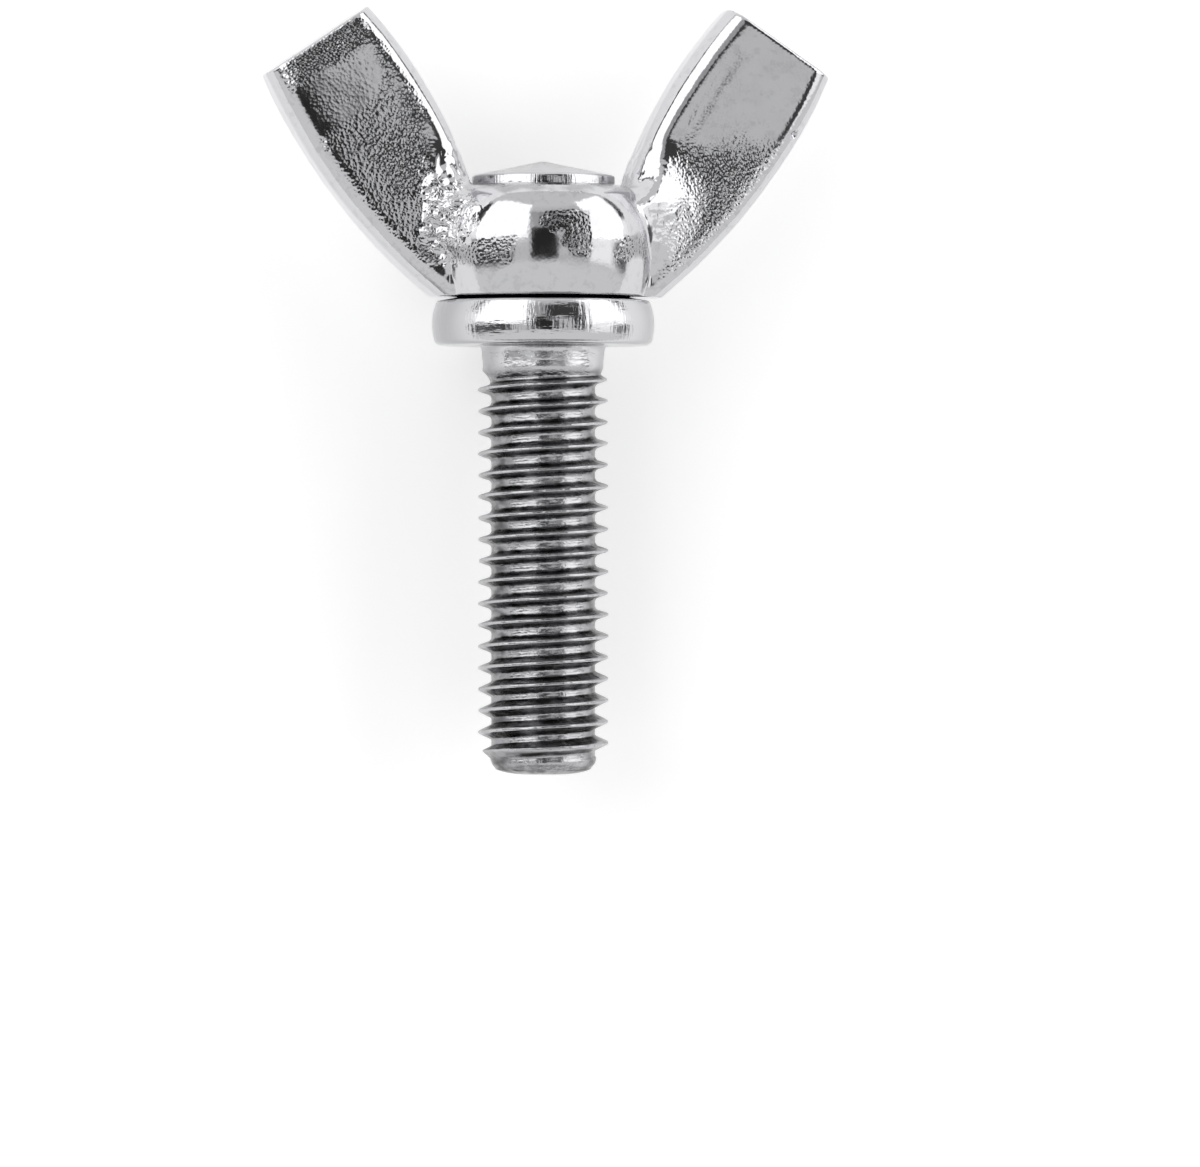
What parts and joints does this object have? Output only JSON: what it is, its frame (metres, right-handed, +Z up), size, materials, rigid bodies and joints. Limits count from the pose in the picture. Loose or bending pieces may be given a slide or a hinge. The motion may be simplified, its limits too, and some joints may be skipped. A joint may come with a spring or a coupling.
{
  "type": "wing screw",
  "caption": "Metal wing screw: a barrel hub with two flared wings pressed onto a collared, right-hand threaded shank.",
  "frame": {"origin": "on the screw's axis, in the bearing face under the collar", "axes": "+Y along the screw's axis toward the head, X across the wings, +Z up from the surface that the part lies on"},
  "size_m": [0.0212, 0.0286, 0.0084],
  "materials": {
    "screw_plating": "bright plated, cold formed",
    "head_plating": "bright plated over a cast skin"
  },
  "bodies": {
    "root": {"screw": "screw_plating", "wing_head": "head_plating"}
  },
  "joints": []
}
